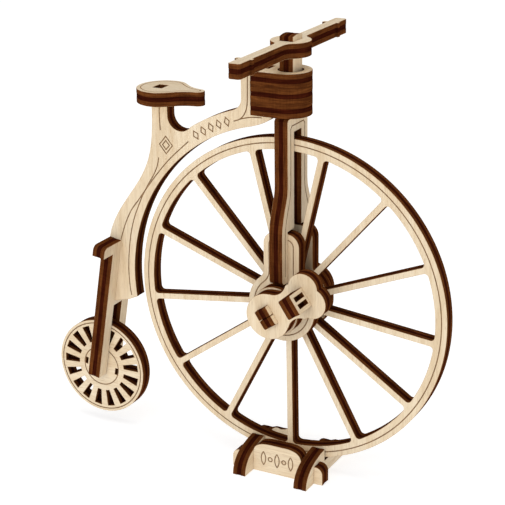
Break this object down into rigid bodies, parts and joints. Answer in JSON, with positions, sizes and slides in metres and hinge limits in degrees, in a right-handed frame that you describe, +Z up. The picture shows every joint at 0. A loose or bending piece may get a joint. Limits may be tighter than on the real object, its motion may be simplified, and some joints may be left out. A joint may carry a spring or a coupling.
{
  "type": "high-wheel bicycle model",
  "caption": "Plywood desk model of a high-wheel bicycle: crank-driven front wheel, steering fork, arched backbone with saddle and small rear wheel, in a slotted cradle stand.",
  "frame": {"origin": "on the table plane, at the middle of the overall length and width, 15.55 mm behind the point under the centre of the big wheel", "axes": "+X towards the front of the bicycle, +Y towards its left side, +Z up"},
  "size_m": [0.1248, 0.063, 0.1252],
  "materials": {
    "birch_ply": "matte, pale birch face with dark laser-cut edges",
    "birch_dowel": "matte"
  },
  "bodies": {
    "stand": {"stand_side_plate": "birch_ply", "stand_cross_plate_front": "birch_ply", "stand_cross_plate_rear": "birch_ply"},
    "fork": {"front_fork": "birch_ply", "bearing_plate_right": "birch_ply", "bearing_plate_left": "birch_ply", "handlebar": "birch_ply"},
    "wheelset": {"big_wheel": "birch_ply", "front_axle": "birch_ply", "washer_right": "birch_ply", "washer_left": "birch_ply", "crank_right": "birch_ply", "crank_left": "birch_ply", "pedal_right": "birch_ply", "pedal_left": "birch_ply"},
    "frame": {"backbone": "birch_ply", "head_ring_bottom": "birch_ply", "head_ring_middle": "birch_ply", "head_ring_top": "birch_ply", "saddle": "birch_ply", "rear_fork": "birch_ply", "rear_axle_pin": "birch_dowel"},
    "small_wheel": {"rear_wheel": "birch_ply"}
  },
  "joints": [
    {"name": "lift_off", "type": "slide", "parent": "stand", "child": "fork", "axis": [0, 0, 1], "range_m": [0, 0.06]},
    {"name": "big_wheel_spin", "type": "hinge", "parent": "fork", "child": "wheelset", "pos_m": [0.01555, 0, 0.0504], "axis": [0, 1, 0], "continuous": true},
    {"name": "steering", "type": "hinge", "parent": "fork", "child": "frame", "pos_m": [0.01555, 0, 0.1096], "axis": [0, 0, 1], "range_deg": [-35, 35]},
    {"name": "rear_wheel_spin", "type": "hinge", "parent": "frame", "child": "small_wheel", "pos_m": [-0.04775, 0, 0.0183], "axis": [0, 1, 0], "continuous": true}
  ]
}
